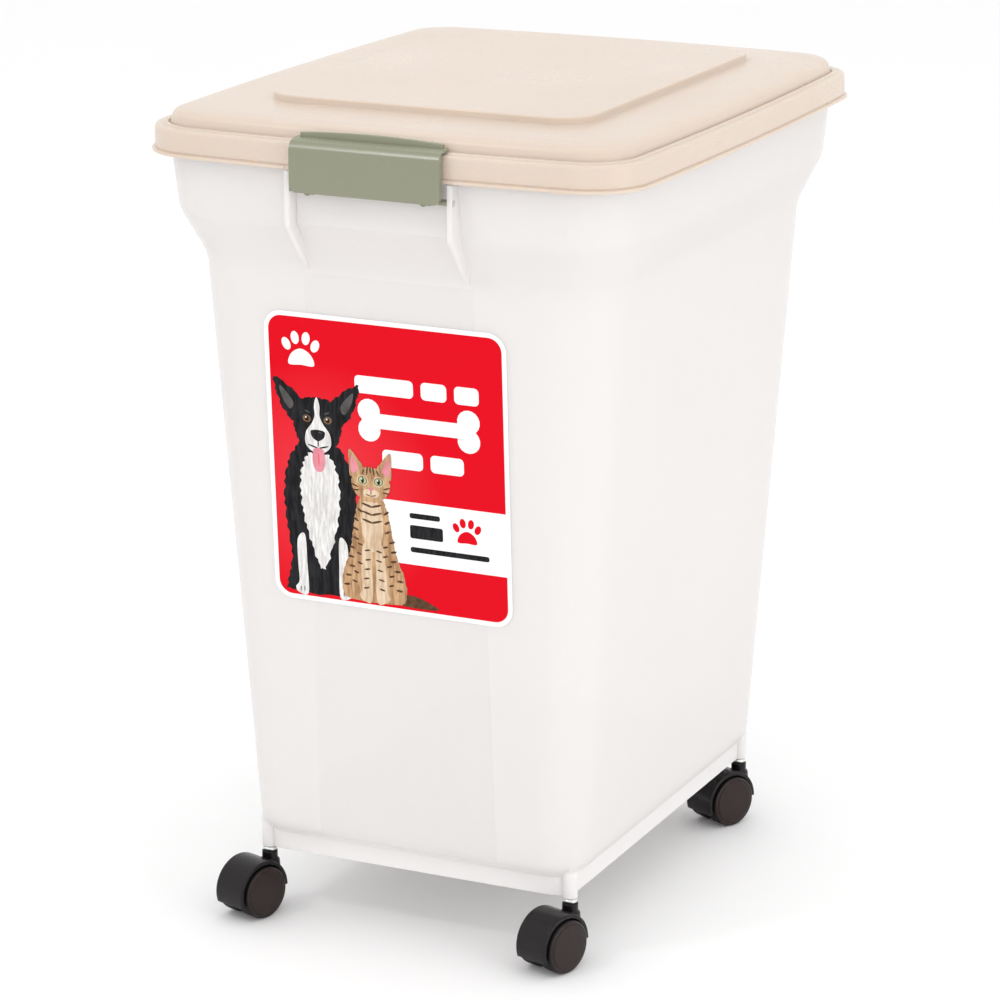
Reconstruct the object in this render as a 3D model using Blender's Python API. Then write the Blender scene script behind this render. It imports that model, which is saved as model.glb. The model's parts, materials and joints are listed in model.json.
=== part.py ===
"""Airtight pet food bin: a tapered translucent tub on four twin-wheel swivel casters, with a hinged
lid, a gasket under the lid and a front latch.

Sizes are millimetres until mm() turns them into metres. +X is to the right seen from the front, -Y
is the front with the latch, +Z is up, and the wheels stand on z = 0.
"""

import math

import bmesh
import bpy
from mathutils import Matrix, Vector

# --- driving dimensions ---------------------------------------------------------------------------
GAP = 0.3  # between pieces that touch
WALL = 2.5  # moulded polypropylene

# Lid, measured from the outer edge of the bead round its foot.
LID_HALF_WIDTH, LID_HALF_DEPTH, LID_RADIUS = 194.5, 235.6, 39.5
LID_BULGE = (5.7, 8.0)  # how far the middle of a side stands out past its ends
LID_FOOT, LEDGE_TOP, DOME_TOP, LID_TOP = 580.7, 600.9, 611.5, 617.0
PLATE_HALF_WIDTH, PLATE_HALF_DEPTH, PLATE_RADIUS, PLATE_SHIFT = 125.5, 163.8, 27.4, 7.9

# Tub.
RIM_TOP = 594.0
FLOOR_UNDERSIDE = 66.0
SKIRT_FOOT = 50.0
CORNER_STEPS, SIDE_STEPS = 5, 4

# Boss on the front of the tub that carries the latch.
BOSS_HALF_WIDTH, BOSS_FRONT, BOSS_PANEL = 64.5, -235.0, -228.0
EAR_THICKNESS = 4.0
LATCH_PIVOT = (-232.0, 567.5)  # y, z
LATCH_HALF_WIDTH = 56.0
LATCH_FRONT = -241.0
TRUNNION_RADIUS = 2.2

# Hinges at the back.
HINGE_PIVOT = (237.0, 574.0)  # y, z
HINGE_CENTRES = (-95.0, 95.0)
KNUCKLE_HALF_LENGTH, HINGE_EAR, BARREL_RADIUS, PIN_RADIUS = 18.0, 6.5, 4.0, 1.7

# Label on the front wall.
LABEL_WIDTH, LABEL_HEIGHT, LABEL_RADIUS, LABEL_THICKNESS = 190.0, 217.0, 14.0, 0.4
LABEL_CENTRE_X, LABEL_CENTRE_Z = -5.0, 364.0

# Casters. Each is drawn with its stem on the z axis, its axle along x and its wheels behind at -y.
STEM_X, STEM_Y = 123.5, 164.5
SOCKET_RADIUS, SOCKET_BORE, SOCKET_TOP = 5.5, 3.9, 66.5
STEM_RADIUS, STEM_TOP, COLLAR_TOP, NECK_TOP = 3.6, 65.8, 48.7, 45.3
TRAIL, AXLE_HEIGHT = 19.0, 20.0
WHEEL_RADIUS, WHEEL_INNER, WHEEL_OUTER = 20.0, 4.0, 17.4
AXLE_RADIUS, HOOD_RADIUS, HOOD_INSIDE, HOOD_HALF_WIDTH, WEB_HALF_WIDTH = 2.0, 24.0, 21.2, 13.8, 3.0
HOOD_FRONT_ANGLE = 199.0  # degrees from level behind the axle, over the top
WHEEL_STEPS = 20
CASTERS = {  # name: side, front or back, and how far it has swivelled, in degrees
    "front_left": (-1, -1, 18.0),
    "front_right": (1, -1, 18.0),
    "rear_left": (-1, 1, 22.0),
    "rear_right": (1, 1, 26.0),
}

# Outside of the tub from foot to rim: height, half width, half depth, corner radius, bulge x and y.
TUB_OUTSIDE = (
    (SKIRT_FOOT, 125.0, 169.5, 15.0, 0.0, 0.0),
    (64.5, 125.0, 170.0, 16.0, 0.0, 0.0),
    (65.5, 127.0, 173.5, 24.0, 0.0, 0.0),
    (69.0, 130.5, 177.2, 27.0, 0.0, 0.0),
    (74.0, 132.6, 179.2, 29.0, 0.0, 0.0),
    (80.0, 133.5, 180.0, 30.0, 0.0, 0.0),
    (500.0, 162.0, 204.5, 46.0, 0.0, 0.0),
    (507.0, 163.8, 206.4, 46.0, 0.5, 0.5),
    (536.0, 177.6, 220.8, 42.0, 3.6, 5.4),
    (541.0, 179.0, 222.2, 41.0, 4.0, 6.0),
    (588.0, 183.0, 226.0, 38.0, 5.0, 7.0),
    (590.5, 188.0, 229.1, 34.0, 5.7, 8.0),
    (RIM_TOP - 0.6, 188.6, 229.7, 33.8, 5.7, 8.0),
    (RIM_TOP, 188.0, 229.1, 33.2, 5.7, 8.0),
)
TUB_INSIDE = (
    (68.5, 125.5, 172.2, 22.0, 0.0, 0.0),
    (71.0, 128.6, 175.2, 25.0, 0.0, 0.0),
    (80.0, 131.0, 177.5, 27.5, 0.0, 0.0),
    (500.0, 159.5, 202.0, 43.5, 0.0, 0.0),
    (507.5, 161.3, 203.9, 43.5, 0.5, 0.5),
    (536.5, 175.1, 218.3, 39.5, 3.6, 5.4),
    (541.0, 176.5, 219.7, 38.5, 4.0, 6.0),
    (RIM_TOP + 8.0, 181.0, 224.0, 36.0, 5.0, 7.0),
)


def mm(value):
    return value / 1000.0


# --- mesh building --------------------------------------------------------------------------------
def outline(half_width, half_depth, radius, bulge_x=0.0, bulge_y=0.0, shift_y=0.0):
    """Points round a rounded rectangle, counter-clockwise, whose sides bulge out in the middle."""
    flat_x, flat_y = half_width - bulge_x, half_depth - bulge_y
    points = []
    for turn, (side_x, side_y) in enumerate(((1, 1), (-1, 1), (-1, -1), (1, -1))):
        centre = (side_x * (flat_x - radius), side_y * (flat_y - radius))
        for step in range(CORNER_STEPS + 1):
            angle = (turn + step / CORNER_STEPS) * math.pi / 2
            points.append(
                (centre[0] + radius * math.cos(angle), centre[1] + radius * math.sin(angle))
            )
        along = (flat_x - radius) if turn % 2 == 0 else (flat_y - radius)
        for step in range(1, SIDE_STEPS):
            travel = along * (1 - 2 * step / SIDE_STEPS)
            if turn % 2 == 0:
                points.append((side_y * travel, side_y * flat_y))
            else:
                points.append((side_x * flat_x, -side_x * travel))
    return [
        (
            x * (1 + bulge_x / flat_x * (1 - (y / flat_y) ** 2)),
            y * (1 + bulge_y / flat_y * (1 - (x / flat_x) ** 2)) + shift_y,
        )
        for x, y in points
    ]


def section(height, *sizes, **more):
    return [(x, y, height) for x, y in outline(*sizes, **more)]


def new_object(name, bm):
    bmesh.ops.triangulate(bm, faces=bm.faces)
    bmesh.ops.recalc_face_normals(bm, faces=bm.faces)
    mesh = bpy.data.meshes.new(name)
    bm.to_mesh(mesh)
    bm.free()
    obj = bpy.data.objects.new(name, mesh)
    bpy.context.scene.collection.objects.link(obj)
    return obj


def loft(name, rings, closed=False):
    """A body through rings of equally many points: capped at both ends, or closed on itself."""
    bm = bmesh.new()
    rows = [[bm.verts.new(Vector(point) / 1000.0) for point in ring] for ring in rings]
    pairs = list(zip(rows, rows[1:]))
    if closed:
        pairs.append((rows[-1], rows[0]))
    else:
        bm.faces.new(rows[0])
        bm.faces.new(rows[-1])
    for low, high in pairs:
        for i in range(len(low)):
            j = (i + 1) % len(low)
            bm.faces.new((low[i], low[j], high[j], high[i]))
    return new_object(name, bm)


def prism(name, polygon, axis, start, end):
    """A polygon given in the two other axes, in their x-y-z order, drawn out along one axis."""
    place = {
        "x": lambda p, t: (t, p[0], p[1]),
        "y": lambda p, t: (p[0], t, p[1]),
        "z": lambda p, t: (p[0], p[1], t),
    }[axis]
    return loft(name, [[place(point, t) for point in polygon] for t in (start, end)])


def box(name, low, high):
    corners = ((low[0], low[1]), (high[0], low[1]), (high[0], high[1]), (low[0], high[1]))
    return prism(name, corners, "z", low[2], high[2])


def circle(centre, radius, steps, first=0.0, last=360.0):
    """Points on an arc, in degrees. A whole turn leaves its last point out."""
    whole = abs(last - first) >= 360.0
    count = steps if whole else steps + 1
    angles = [math.radians(first + (last - first) * i / steps) for i in range(count)]
    return [
        (centre[0] + radius * math.cos(a), centre[1] + radius * math.sin(a)) for a in angles
    ]


def rod(name, axis, centre, radius, start, end, steps=16):
    """A cylinder along an axis. centre is given in the two other axes."""
    return prism(name, circle(centre, radius, steps, 0.0, 360.0), axis, start, end)


def turned(name, profile, steps, phase=0.0):
    """A body turned about z from (radius, height) points that start and end on the axis."""
    bm = bmesh.new()
    rows = []
    for radius, height in profile:
        if radius == 0:
            rows.append([bm.verts.new((0, 0, mm(height)))])
            continue
        ring = circle((0, 0), radius, steps, phase, phase + 360.0)
        rows.append([bm.verts.new((mm(x), mm(y), mm(height))) for x, y in ring])
    for low, high in zip(rows, rows[1:]):
        for i in range(steps):
            j = (i + 1) % steps
            corners = (low[i % len(low)], low[j % len(low)], high[j % len(high)], high[i % len(high)])
            bm.faces.new(list(dict.fromkeys(corners)))
    return new_object(name, bm)


def combine(target, tool, operation):
    """Applies a Boolean to the target and removes the tool."""
    modifier = target.modifiers.new(operation.lower(), "BOOLEAN")
    modifier.operation, modifier.solver, modifier.object = operation, "EXACT", tool
    bpy.context.view_layer.update()
    graph = bpy.context.evaluated_depsgraph_get()
    bm = bmesh.new()
    bm.from_object(target, graph)
    bmesh.ops.triangulate(bm, faces=bm.faces)
    bm.to_mesh(target.data)
    bm.free()
    target.modifiers.remove(modifier)
    bpy.data.objects.remove(tool)


def add(target, *tools):
    for tool in tools:
        combine(target, tool, "UNION")


def cut(target, *tools):
    for tool in tools:
        combine(target, tool, "DIFFERENCE")


def place(obj, matrix, origin=(0, 0, 0)):
    """Moves the object's origin to a point of its own mesh, then places it."""
    shift = Vector(origin) / 1000.0
    obj.data.transform(Matrix.Translation(-shift))
    obj.matrix_world = matrix @ Matrix.Translation(shift)


def material(name, colour, roughness, metallic=0.0, alpha=1.0):
    found = bpy.data.materials.get(name)
    if found:
        return found
    made = bpy.data.materials.new(name)
    made.use_nodes = True
    shader = made.node_tree.nodes["Principled BSDF"]
    shader.inputs["Base Color"].default_value = (*colour, 1.0)
    shader.inputs["Roughness"].default_value = roughness
    shader.inputs["Metallic"].default_value = metallic
    shader.inputs["Alpha"].default_value = alpha
    made.diffuse_color = (*colour, alpha)
    return made


def paint(obj, *settings, **more):
    obj.data.materials.clear()
    obj.data.materials.append(material(*settings, **more))


# --- tub ------------------------------------------------------------------------------------------
def latch_boss():
    """Block on the front of the collar: two ears, with a panel set back between them."""
    profile = ((-190.0, 579.8), (BOSS_FRONT, 579.8), (BOSS_FRONT, 541.0), (-203.6, 502.0), (-190.0, 502.0))
    boss = prism("boss", profile, "x", -BOSS_HALF_WIDTH, BOSS_HALF_WIDTH)
    depth = BOSS_PANEL - BOSS_FRONT
    recess = ((BOSS_PANEL, 590.0), (-250.0, 590.0), (-250.0, 500.0), (-203.6 + depth, 500.0),
              (BOSS_PANEL, 541.0))
    inner = BOSS_HALF_WIDTH - EAR_THICKNESS
    cut(boss, prism("recess", recess, "x", -inner, inner))
    return boss


def hinge_ears(centre):
    """The two ears of one hinge, on the back of the collar."""
    barrel = circle(HINGE_PIVOT, BARREL_RADIUS, 8, 90.0, -40.0)
    profile = [(214.0, 579.0), *barrel, (226.0, 551.0), (214.0, 551.0)]
    ears = []
    for side in (-1, 1):
        near = centre + side * (KNUCKLE_HALF_LENGTH + 0.5)
        ears.append(prism("ear", profile, "x", min(near, near + side * HINGE_EAR),
                          max(near, near + side * HINGE_EAR)))
    return ears


def at_corners():
    """The (x, y) of each caster's stem."""
    return [(side_x * STEM_X, side_y * STEM_Y) for side_x in (-1, 1) for side_y in (-1, 1)]


def tub():
    body = loft("bin_body", [section(*row) for row in TUB_OUTSIDE])
    cut(body, loft("base_recess", [section(z, 122.5, 167.4, 13.0) for z in (40.0, FLOOR_UNDERSIDE)]))
    for x, y in at_corners():
        foot = COLLAR_TOP + GAP
        post = [(0.0, foot), (SOCKET_RADIUS, foot), (SOCKET_RADIUS, 70.0), (4.4, 82.0), (0.0, 83.0)]
        socket = turned("socket", post, 16)
        socket.data.transform(Matrix.Translation((mm(x), mm(y), 0.0)))
        add(body, socket)
    add(body, latch_boss())
    for centre in HINGE_CENTRES:
        add(body, *hinge_ears(centre))
    cut(body, loft("inside", [section(*row) for row in TUB_INSIDE]))
    for x, y in at_corners():
        cut(body, rod("bore", "z", (x, y), SOCKET_BORE, 40.0, SOCKET_TOP))
    cut(body, rod("latch_bore", "x", LATCH_PIVOT, TRUNNION_RADIUS + GAP, -70.0, 70.0))
    for centre in HINGE_CENTRES:
        cut(body, rod("pin_bore", "x", HINGE_PIVOT, PIN_RADIUS + GAP, centre - 30.0, centre + 30.0))
    paint(body, "translucent_polypropylene", (0.90, 0.89, 0.88), 0.35, alpha=0.6)
    return body


# --- lid and gasket -------------------------------------------------------------------------------
def inset(amount, height):
    """A ring of the lid, this far inside the outer edge of its bead."""
    radius = max(LID_RADIUS - amount * 0.8, 12.0)
    return section(height, LID_HALF_WIDTH - amount, LID_HALF_DEPTH - amount, radius, *LID_BULGE)


def plate(height, shrink):
    return section(height, PLATE_HALF_WIDTH - shrink, PLATE_HALF_DEPTH - shrink,
                   PLATE_RADIUS - shrink, shift_y=PLATE_SHIFT)


def lid():
    under = LEDGE_TOP - WALL - 0.4
    inside = [
        plate(LID_TOP - WALL, WALL),
        plate(DOME_TOP - WALL, WALL - 0.2),
        inset(28.0, DOME_TOP - WALL), inset(23.4, 608.3), inset(20.0, 606.2), inset(18.0, 603.0),
        inset(17.4, 594.8), inset(15.8, 594.8), inset(15.6, under),  # rib beside the gasket
        inset(5.0, under), inset(4.3, under - 0.8), inset(4.1, LID_FOOT),
    ]
    outside = [
        inset(0.4, LID_FOOT), inset(0.0, 581.2), inset(0.0, 582.8), inset(1.7, 583.8),
        inset(2.2, 597.4), inset(2.9, 599.3), inset(4.4, 600.5), inset(6.4, LEDGE_TOP),
        inset(11.0, LEDGE_TOP), inset(11.7, 600.1), inset(12.4, 600.2),
        inset(12.9, 602.8), inset(14.6, 606.2), inset(17.8, 609.2), inset(22.0, 611.0),
        inset(27.0, DOME_TOP),
        plate(DOME_TOP, 0.0), plate(616.0, 0.3), plate(616.8, 0.9), plate(LID_TOP, 2.0),
    ]
    cover = loft("lid", inside + outside)
    # The bead stops either side of the latch.
    cut(cover, box("bead_gap", (-BOSS_HALF_WIDTH, -242.0, 579.0), (BOSS_HALF_WIDTH, -233.9, 583.75)))
    for centre in HINGE_CENTRES:
        arm = [(230.6, 592.0), (230.6, 582.0), *circle(HINGE_PIVOT, BARREL_RADIUS, 10, 180.0, 400.0),
               (236.8, 584.0), (236.0, 592.0)]
        knuckle = prism("knuckle", arm, "x", centre - KNUCKLE_HALF_LENGTH, centre + KNUCKLE_HALF_LENGTH)
        add(cover, knuckle)
        cut(cover, rod("pin_bore", "x", HINGE_PIVOT, PIN_RADIUS + GAP, centre - 30.0, centre + 30.0))
    place(cover, Matrix(), (0.0, *HINGE_PIVOT))
    paint(cover, "almond_polypropylene", (0.83, 0.74, 0.64), 0.4)
    return cover


def gasket():
    """Soft ring held under the lid's ledge, pressing on the rim of the tub."""
    low, high = RIM_TOP + GAP, LEDGE_TOP - WALL - 0.4 - GAP
    seal = loft("lid_gasket", [inset(7.2, low), inset(7.0, high), inset(13.4, high), inset(13.2, low)],
                closed=True)
    place(seal, Matrix(), (0.0, *HINGE_PIVOT))
    paint(seal, "silicone", (0.72, 0.70, 0.67), 0.6)
    return seal


def hinge_pin(name, centre):
    half = KNUCKLE_HALF_LENGTH + 0.5 + HINGE_EAR
    pin = turned(name, [(0.0, -half), (PIN_RADIUS - 0.3, -half), (PIN_RADIUS, 0.3 - half),
                        (PIN_RADIUS, half - 0.3), (PIN_RADIUS - 0.3, half), (0.0, half)], 12)
    pin.data.transform(Matrix.Rotation(math.pi / 2, 4, "Y"))
    place(pin, Matrix.Translation((mm(centre), mm(HINGE_PIVOT[0]), mm(HINGE_PIVOT[1]))))
    paint(pin, "zinc_steel", (0.70, 0.71, 0.72), 0.3, metallic=1.0)
    return pin


# --- latch ----------------------------------------------------------------------------------------
def latch_outline(corner=4.0):
    """Front view of the latch: square at its hook, with rounded corners below."""
    half, low, high = LATCH_HALF_WIDTH, 566.3, 612.0
    return [
        *circle((-half + corner, low + corner), corner, 4, 180.0, 270.0),
        *circle((half - corner, low + corner), corner, 4, 270.0, 360.0),
        (half, high), (-half, high),
    ]


def latch():
    inner = LATCH_FRONT + 2.8
    profile = [
        (LATCH_FRONT, 565.0), (LATCH_FRONT, 599.2), (-240.6, 600.8), (-239.5, 602.1), (-237.8, 602.9),
        (-230.0, 603.8), (-225.2, 603.8), (-224.8, 603.3), (-224.8, 601.3), (-236.4, 601.3),
        (-237.6, 600.6), (inner, 599.2), (inner, 565.0),
    ]
    spare = 2.0  # trimmed off by the front view
    body = prism("latch", profile, "x", -LATCH_HALF_WIDTH - spare, LATCH_HALF_WIDTH + spare)
    for side in (-1, 1):
        rib = ((inner - 0.5, 564.0), (-234.6, 564.0), (-234.6, 599.0), (inner - 0.5, 600.6))
        edges = sorted((side * (LATCH_HALF_WIDTH + 2 * spare), side * (LATCH_HALF_WIDTH - 2.5)))
        add(body, prism("side_rib", rib, "x", *edges))
    front_view = prism("front_view", latch_outline(), "y", -250.0, -215.0)
    combine(body, front_view, "INTERSECT")
    lip_top = [(-54.5 + 109.0 * i / 12, 606.6 + 1.9 * (1 - ((i - 6) / 6) ** 2)) for i in range(13)]
    lip = prism("lip", [*lip_top, (54.5, 602.6), (-54.5, 602.6)], "y", -228.0, -226.2)
    add(body, lip)
    arm = [(inner - 1.0, 580.0), (inner - 1.0, LATCH_PIVOT[1] - 3.0),
           *circle(LATCH_PIVOT, 3.4, 8, 230.0, 400.0), (inner + 1.5, 580.0)]
    for side in (-1, 1):
        edges = sorted((side * 42.0, side * 47.0))
        add(body, prism("arm", arm, "x", *edges))
        edges = sorted((side * 44.0, side * (BOSS_HALF_WIDTH - 1.5)))
        add(body, rod("trunnion", "x", LATCH_PIVOT, TRUNNION_RADIUS, *edges, steps=12))
    place(body, Matrix(), (0.0, *LATCH_PIVOT))
    paint(body, "sage_polypropylene", (0.20, 0.22, 0.13), 0.35)
    return body


# --- label ----------------------------------------------------------------------------------------
def label():
    """Printed sheet stuck on the front wall, which leans out towards the top."""
    low, high = TUB_OUTSIDE[5], TUB_OUTSIDE[6]
    lean = math.atan2(high[2] - low[2], high[0] - low[0])
    wall_y = -(low[2] + (LABEL_CENTRE_Z - low[0]) * math.tan(lean))
    half_x, half_z, r = LABEL_WIDTH / 2, LABEL_HEIGHT / 2, LABEL_RADIUS
    edge = []
    for turn, (sx, sz) in enumerate(((1, 1), (-1, 1), (-1, -1), (1, -1))):
        edge += circle((sx * (half_x - r), sz * (half_z - r)), r, 5, turn * 90.0, turn * 90.0 + 90.0)
    sheet = prism("label", edge, "y", -GAP - LABEL_THICKNESS, -GAP)
    place(sheet, Matrix.Translation((mm(LABEL_CENTRE_X), mm(wall_y), mm(LABEL_CENTRE_Z)))
          @ Matrix.Rotation(lean, 4, "X"))
    paint(sheet, "printed_film", (0.72, 0.03, 0.05), 0.35)
    return sheet


# --- casters --------------------------------------------------------------------------------------
def stem(name):
    """Zinc-plated stem: a collar under the socket, a shank up it, and a swivel pin down the caster."""
    profile = [
        (0.0, 36.3), (STEM_RADIUS - 0.4, 36.3), (STEM_RADIUS, 36.7), (STEM_RADIUS, NECK_TOP + GAP),
        (5.2, NECK_TOP + GAP), (5.5, 46.2), (5.5, 48.0), (4.9, COLLAR_TOP), (STEM_RADIUS, COLLAR_TOP),
        (STEM_RADIUS, 61.5), (3.1, 62.0), (3.1, 63.0), (STEM_RADIUS, 63.5), (STEM_RADIUS, 65.0),
        (2.8, STEM_TOP), (0.0, STEM_TOP),
    ]
    shank = turned(name, profile, 14)
    paint(shank, "zinc_steel", (0.70, 0.71, 0.72), 0.3, metallic=1.0)
    return shank


def hood_band():
    """The curved cover over both wheels."""
    half, chamfer = HOOD_HALF_WIDTH, 0.9
    across = [(-half, HOOD_INSIDE), (-half, HOOD_RADIUS - chamfer), (chamfer - half, HOOD_RADIUS),
              (half - chamfer, HOOD_RADIUS), (half, HOOD_RADIUS - chamfer), (half, HOOD_INSIDE)]
    rings = []
    for step in range(17):
        angle = math.radians(HOOD_FRONT_ANGLE * step / 16)
        rings.append([(x, -TRAIL + r * math.cos(angle), AXLE_HEIGHT + r * math.sin(angle))
                      for x, r in across])
    return loft("hood_band", rings)


def housing(name):
    """Hood, the web between the wheels and the neck that turns on the stem, in one moulding."""
    centre = (-TRAIL, AXLE_HEIGHT)
    upper = circle(centre, HOOD_RADIUS - 1.4, 14, 2.0, HOOD_FRONT_ANGLE - 2.0)
    lower = circle(centre, 9.0, 6, 215.0, 350.0)
    body = prism(name, upper + lower, "x", -WEB_HALF_WIDTH, WEB_HALF_WIDTH)
    neck = turned("neck", [(0.0, 27.0), (6.6, 27.0), (6.6, 38.5), (5.9, 39.2), (5.9, NECK_TOP - 0.8),
                           (5.3, NECK_TOP), (0.0, NECK_TOP)], 16)
    add(body, neck)
    for side in (-1, 1):
        edges = sorted((side * WEB_HALF_WIDTH, side * 22.0))
        cut(body, rod("pocket", "x", centre, HOOD_INSIDE + 0.4, *edges, steps=36))
    add(body, hood_band())
    cut(body, rod("stem_bore", "z", (0.0, 0.0), STEM_RADIUS + GAP, 36.0, 50.0, steps=14))
    cut(body, rod("axle_bore", "x", centre, AXLE_RADIUS + GAP, -10.0, 10.0, steps=12))
    paint(body, "charcoal_nylon", (0.045, 0.038, 0.040), 0.35)
    return body


def axle(name):
    half = WHEEL_OUTER - 2.2
    bar = turned(name, [(0.0, -half), (AXLE_RADIUS, -half), (AXLE_RADIUS, half), (0.0, half)], 12)
    bar.data.transform(Matrix.Rotation(math.pi / 2, 4, "Y"))
    paint(bar, "zinc_steel", (0.70, 0.71, 0.72), 0.3, metallic=1.0)
    return bar


def wheel(name, side):
    """One wheel turned about x, its plain face towards side (-1 or 1) and its blind bore inside."""
    rim = WHEEL_RADIUS / math.cos(math.pi / WHEEL_STEPS)  # a flat of the tread touches the floor
    bore = AXLE_RADIUS + GAP
    profile = [
        (0.0, WHEEL_OUTER - 1.6), (bore, WHEEL_OUTER - 1.6), (bore, WHEEL_INNER), (rim - 0.9, WHEEL_INNER),
        (rim, WHEEL_INNER + 0.9), (rim, WHEEL_OUTER - 1.9), (rim - 1.0, WHEEL_OUTER - 1.0),
        (rim - 2.8, WHEEL_OUTER - 0.5), (0.0, WHEEL_OUTER),
    ]
    body = turned(name, profile, WHEEL_STEPS, phase=180.0 / WHEEL_STEPS)
    turn = Matrix.Rotation(side * math.pi / 2, 4, "Y")
    body.data.transform(turn)
    paint(body, "charcoal_wheel", (0.060, 0.050, 0.048), 0.42)
    return body


def caster(corner, side_x, side_y, swivel):
    """Stem, housing, axle and two wheels of one caster, turned to its resting direction."""
    base = Matrix.Translation((mm(side_x * STEM_X), mm(side_y * STEM_Y), 0.0))
    turned_base = base @ Matrix.Rotation(math.radians(-swivel), 4, "Z")
    hub = turned_base @ Matrix.Translation((0.0, mm(-TRAIL), mm(AXLE_HEIGHT)))
    place(stem(f"stem_{corner}"), base)
    place(housing(f"housing_{corner}"), turned_base)
    place(axle(f"axle_{corner}"), hub)
    for side, word in ((-1, "left"), (1, "right")):
        place(wheel(f"wheel_{corner}_{word}", side), hub)


def build():
    for obj in list(bpy.data.objects):
        bpy.data.objects.remove(obj)
    tub()
    lid()
    gasket()
    for name, centre in zip(("hinge_pin_left", "hinge_pin_right"), HINGE_CENTRES):
        hinge_pin(name, centre)
    latch()
    label()
    for corner, (side_x, side_y, swivel) in CASTERS.items():
        caster(corner, side_x, side_y, swivel)


build()
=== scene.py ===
"""The pet food bin's looks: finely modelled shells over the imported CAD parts, their materials, a soft
studio and the camera.

Shapes are drawn in millimetres in the bin's own frame and turned into metres by new_object(). Heights
and widths follow the CAD parts, whose boxes place each piece.
"""

import json
import math

import bmesh
import bpy
from mathutils import Matrix, Vector
from mathutils.geometry import tessellate_polygon

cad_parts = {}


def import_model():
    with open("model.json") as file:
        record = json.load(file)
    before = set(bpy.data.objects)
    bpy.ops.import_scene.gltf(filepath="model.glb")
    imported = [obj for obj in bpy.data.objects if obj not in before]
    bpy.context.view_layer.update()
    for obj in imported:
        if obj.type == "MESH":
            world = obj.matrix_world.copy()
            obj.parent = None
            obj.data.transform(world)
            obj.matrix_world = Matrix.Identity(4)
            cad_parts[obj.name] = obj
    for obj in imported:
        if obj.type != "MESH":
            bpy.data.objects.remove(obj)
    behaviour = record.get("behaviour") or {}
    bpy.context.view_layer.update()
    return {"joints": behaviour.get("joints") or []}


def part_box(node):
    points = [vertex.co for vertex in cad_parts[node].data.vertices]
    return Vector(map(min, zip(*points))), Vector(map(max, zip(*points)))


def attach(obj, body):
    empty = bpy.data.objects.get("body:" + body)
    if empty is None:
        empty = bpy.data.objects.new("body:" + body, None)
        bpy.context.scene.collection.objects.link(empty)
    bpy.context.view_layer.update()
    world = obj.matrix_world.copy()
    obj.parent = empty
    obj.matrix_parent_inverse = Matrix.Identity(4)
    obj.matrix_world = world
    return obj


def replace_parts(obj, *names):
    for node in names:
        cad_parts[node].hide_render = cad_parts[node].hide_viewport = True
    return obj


MM = 0.001
ALONG_X = Matrix.Rotation(math.pi / 2, 4, "Y")  # turns a body made about z to lie along x

# --- camera and studio ----------------------------------------------------------------------------
CAMERA_PLACE = (1.1756, -2.5228, 1.0894)
CAMERA_YAW, CAMERA_PITCH = 25.17, -16.02  # degrees
CAMERA_LENS, SENSOR = 137.66, 36.0
WORLD_LIGHT = 1.04
FLOOR_SIDE, FLOOR_THICK = 30.0, 0.02

# --- tub ------------------------------------------------------------------------------------------
FOOT_Z, FLOOR_UNDER, FLOOR_TOP, RIM_Z = 50.0, 66.0, 68.5, 594.0
WALL_FOOT_Z, WALL_TOP_Z = 80.0, 500.0  # the ends of the straight wall
WALL_FOOT_DEPTH, WALL_TOP_DEPTH = 180.0, 204.5  # half the depth there
# height, half width, half depth, corner radius, bulge of the sides x and y, fillet
TUB_UNDER = (
    (FLOOR_UNDER, 122.0, 166.9, 12.5, 0.0, 0.0, 0.0),
    (FLOOR_UNDER, 122.5, 167.4, 13.0, 0.0, 0.0, 0.0),
    (FOOT_Z + 0.4, 122.7, 167.6, 13.2, 0.0, 0.0, 0.0),
    (FOOT_Z, 123.1, 168.0, 13.6, 0.0, 0.0, 0.0),
)
TUB_OUTSIDE = (
    (FOOT_Z, 124.6, 169.1, 14.6, 0.0, 0.0, 0.0),
    (FOOT_Z + 0.4, 125.0, 169.5, 15.0, 0.0, 0.0, 0.0),
    (64.5, 125.0, 170.0, 16.0, 0.0, 0.0, 0.4),
    (65.5, 127.0, 173.5, 24.0, 0.0, 0.0, 0.6),
    (69.0, 130.5, 177.2, 27.0, 0.0, 0.0, 2.0),
    (74.0, 132.6, 179.2, 29.0, 0.0, 0.0, 2.6),
    (WALL_FOOT_Z, 133.5, WALL_FOOT_DEPTH, 30.0, 0.0, 0.0, 3.0),
    (WALL_TOP_Z, 162.0, WALL_TOP_DEPTH, 46.0, 0.0, 0.0, 3.4),
    (507.0, 163.8, 206.4, 46.0, 0.5, 0.5, 3.4),
    (536.0, 177.6, 220.8, 42.0, 3.6, 5.4, 2.4),
    (541.0, 179.0, 222.2, 41.0, 4.0, 6.0, 2.4),
    (588.0, 183.0, 226.0, 38.0, 5.0, 7.0, 1.0),
    (590.5, 188.0, 229.1, 34.0, 5.7, 8.0, 0.8),
    (RIM_Z - 0.6, 188.6, 229.7, 33.8, 5.7, 8.0, 0.3),
    (RIM_Z, 188.0, 229.1, 33.2, 5.7, 8.0, 0.0),
)
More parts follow.
